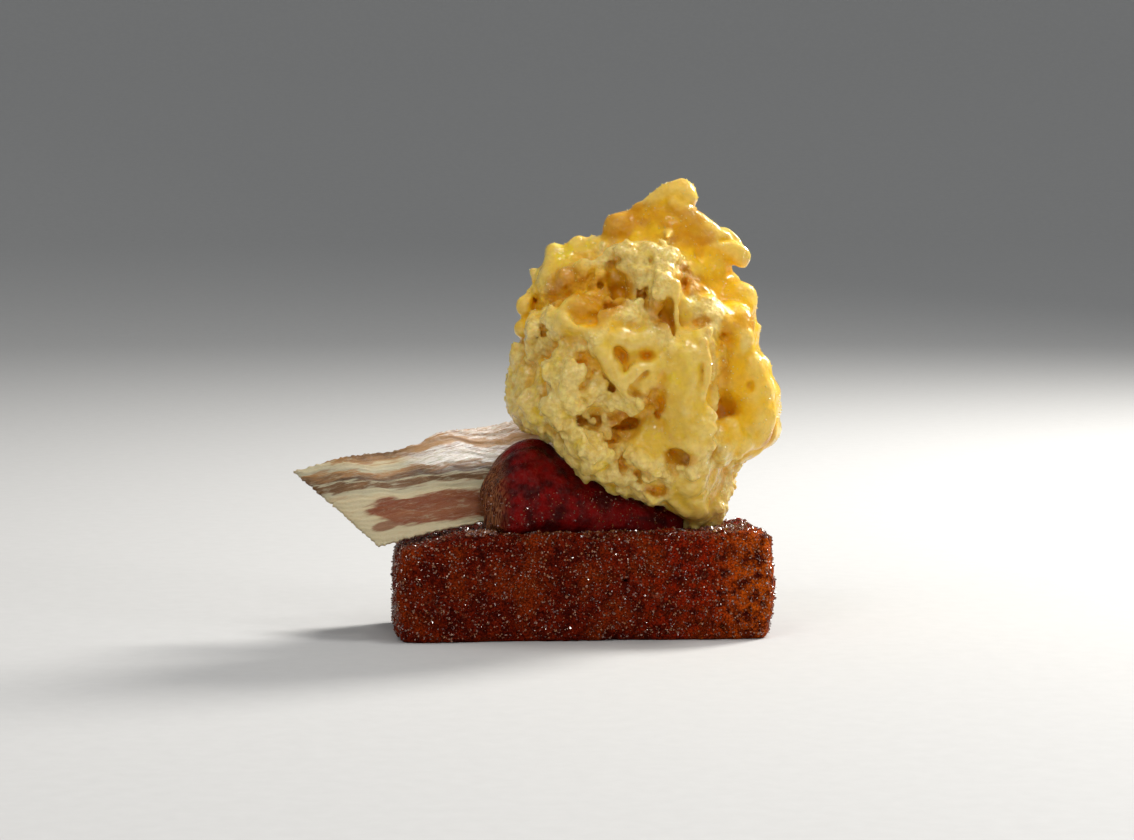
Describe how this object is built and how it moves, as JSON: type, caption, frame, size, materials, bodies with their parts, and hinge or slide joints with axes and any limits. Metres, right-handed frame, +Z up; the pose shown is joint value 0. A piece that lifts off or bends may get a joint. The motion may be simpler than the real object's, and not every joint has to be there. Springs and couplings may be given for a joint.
{
  "type": "composed French toast dessert with ice cream",
  "caption": "Caramelised French toast block topped with red jam, a slice of crisp streaky bacon stuck in it and a rough scoop of yellow custard ice cream.",
  "frame": {"origin": "centre of the toast block's flat underside", "axes": "+X along the block, from the bacon end to the ice cream end; -Y towards the front face; +Z up"},
  "size_m": [0.0975, 0.0453, 0.0897],
  "materials": {
    "toast": "caramelised crumb with sugar sparkle",
    "jam": "wet gloss",
    "bacon": "greasy satin",
    "ice_cream": "half melted, wet"
  },
  "bodies": {
    "root": {"french_toast": "toast", "tomato_jam": "jam", "bacon_crisp": "bacon", "ice_cream": "ice_cream"}
  },
  "joints": []
}
